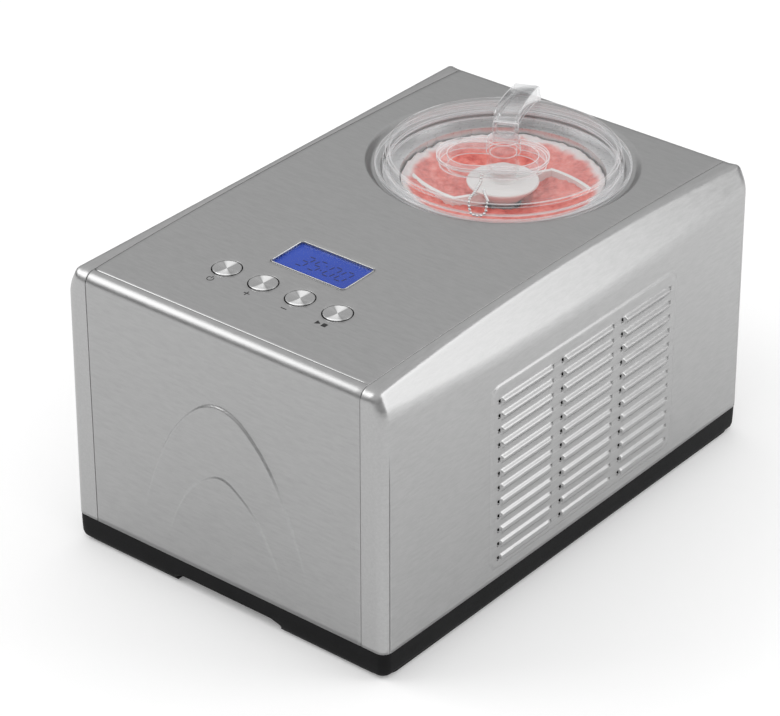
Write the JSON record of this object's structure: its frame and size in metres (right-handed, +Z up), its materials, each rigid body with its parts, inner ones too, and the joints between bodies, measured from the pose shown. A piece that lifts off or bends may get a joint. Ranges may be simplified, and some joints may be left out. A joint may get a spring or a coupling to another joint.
{
  "type": "ice cream maker",
  "caption": "Countertop compressor ice cream maker: steel case, removable bowl, mixing paddle, clear lid with filler opening, push buttons, gear drive and cooling set.",
  "frame": {"origin": "on the floor, under the centre of the case", "axes": "front faces -Y, +X is the right hand side seen from the front, +Z is up"},
  "size_m": [0.285, 0.42, 0.26],
  "materials": {
    "case_steel": "brushed stainless steel",
    "base_black": "fine matt texture",
    "foot_rubber": "matt",
    "screw_steel": "zinc plated",
    "gland_black": "matt",
    "bezel_chrome": "bright chrome",
    "window_clear": "gloss, blue tint",
    "lcd_blue": "blue display",
    "board_green": "solder mask",
    "switch_black": "moulded",
    "button_spun": "spun radial finish",
    "bowl_aluminium": "satin spun",
    "well_aluminium": "mill finish",
    "copper": "drawn copper",
    "foam_cream": "rigid foam",
    "bracket_steel": "galvanised sheet",
    "paddle_white": "satin moulded",
    "lid_clear": "clear polished plastic",
    "chain_chrome": "bright",
    "shaft_steel": "ground",
    "gear_nylon": "moulded nylon",
    "bronze": "sintered bronze",
    "motor_steel": "painted",
    "gearbox_plastic": "glass filled",
    "compressor_black": "semi gloss enamel",
    "fin_aluminium": "thin fins",
    "fan_black": "moulded"
  },
  "bodies": {
    "housing": {"base_tray": "base_black", "rubber_feet": "foot_rubber", "front_panel": "case_steel", "front_bend": "case_steel", "control_panel": "case_steel", "top_panel": "case_steel", "rear_bend": "case_steel", "rear_panel": "case_steel", "lid_recess": "case_steel", "left_side_panel": "case_steel", "right_side_panel": "case_steel", "base_screws": "screw_steel", "rear_screws": "screw_steel", "cord_gland": "gland_black", "display_bezel": "bezel_chrome", "display_window": "window_clear", "lcd_module": "lcd_blue", "control_board": "board_green", "tact_switches": "switch_black", "button_guide": "switch_black", "evaporator_well": "well_aluminium", "well_gasket": "foot_rubber", "evaporator_coil": "copper", "foam_jacket": "foam_cream", "chassis_bridge": "bracket_steel", "shaft_bushes": "bronze", "intermediate_axle": "shaft_steel", "motor_can": "motor_steel", "gearbox_housing": "gearbox_plastic", "gearbox_cover": "gearbox_plastic", "compressor": "compressor_black", "compressor_grommets": "foot_rubber", "compressor_bolts": "screw_steel", "condenser": "fin_aluminium", "fan_frame": "fan_black", "fan_motor": "motor_steel", "filter_drier": "copper", "capillary_tube": "copper", "discharge_line": "copper", "liquid_line": "copper", "suction_line": "copper", "power_board": "board_green"},
    "bowl_body": {"bowl": "bowl_aluminium", "bowl_flange": "bowl_aluminium", "bowl_dish": "bowl_aluminium", "bowl_hub": "bowl_aluminium"},
    "paddle_body": {"dasher": "paddle_white"},
    "lid_body": {"lid": "lid_clear", "lid_handle": "lid_clear", "bead_chain": "chain_chrome"},
    "output_body": {"drive_shaft": "shaft_steel", "output_gear": "gear_nylon"},
    "intermediate_body": {"intermediate_gear": "gear_nylon"},
    "rotor_body": {"motor_rotor": "shaft_steel"},
    "fan_body": {"fan_rotor": "fan_black"},
    "power_button": {"button_power": "button_spun"},
    "plus_button": {"button_plus": "button_spun"},
    "minus_button": {"button_minus": "button_spun"},
    "start_button": {"button_start": "button_spun"}
  },
  "joints": [
    {"name": "bowl_lift", "type": "slide", "parent": "housing", "child": "bowl_body", "axis": [0, 0, 1], "range_m": [0, 0.15]},
    {"name": "lid_lift", "type": "slide", "parent": "bowl_body", "child": "lid_body", "axis": [0, 0, 1], "range_m": [0, 0.08]},
    {"name": "paddle_spin", "type": "hinge", "parent": "bowl_body", "child": "paddle_body", "pos_m": [0, 0.099, 0.15], "axis": [0, 0, 1], "continuous": true},
    {"name": "output_spin", "type": "hinge", "parent": "housing", "child": "output_body", "pos_m": [0, 0.099, 0.056], "axis": [0, 0, 1], "continuous": true},
    {"name": "intermediate_spin", "type": "hinge", "parent": "housing", "child": "intermediate_body", "pos_m": [-0.036, 0.099, 0.045], "axis": [0, 0, 1], "continuous": true},
    {"name": "rotor_spin", "type": "hinge", "parent": "housing", "child": "rotor_body", "pos_m": [-0.0624, 0.099, 0.02], "axis": [0, 0, 1], "continuous": true},
    {"name": "fan_spin", "type": "hinge", "parent": "housing", "child": "fan_body", "pos_m": [0.0835, -0.051, 0.099], "axis": [1, 0, 0], "continuous": true},
    {"name": "power_press", "type": "slide", "parent": "housing", "child": "power_button", "axis": [0, 0, -1], "range_m": [0, 0.0009], "stiffness_N_per_m": 1500, "springref_m": -0.0002},
    {"name": "plus_press", "type": "slide", "parent": "housing", "child": "plus_button", "axis": [0, 0, -1], "range_m": [0, 0.0009], "stiffness_N_per_m": 1500, "springref_m": -0.0002},
    {"name": "minus_press", "type": "slide", "parent": "housing", "child": "minus_button", "axis": [0, 0, -1], "range_m": [0, 0.0009], "stiffness_N_per_m": 1500, "springref_m": -0.0002},
    {"name": "start_press", "type": "slide", "parent": "housing", "child": "start_button", "axis": [0, 0, -1], "range_m": [0, 0.0009], "stiffness_N_per_m": 1500, "springref_m": -0.0002}
  ],
  "couplings": [
    {"joint": "output_spin", "follows": "paddle_spin", "ratio": 1},
    {"joint": "intermediate_spin", "follows": "paddle_spin", "ratio": -5},
    {"joint": "rotor_spin", "follows": "paddle_spin", "ratio": 28}
  ]
}
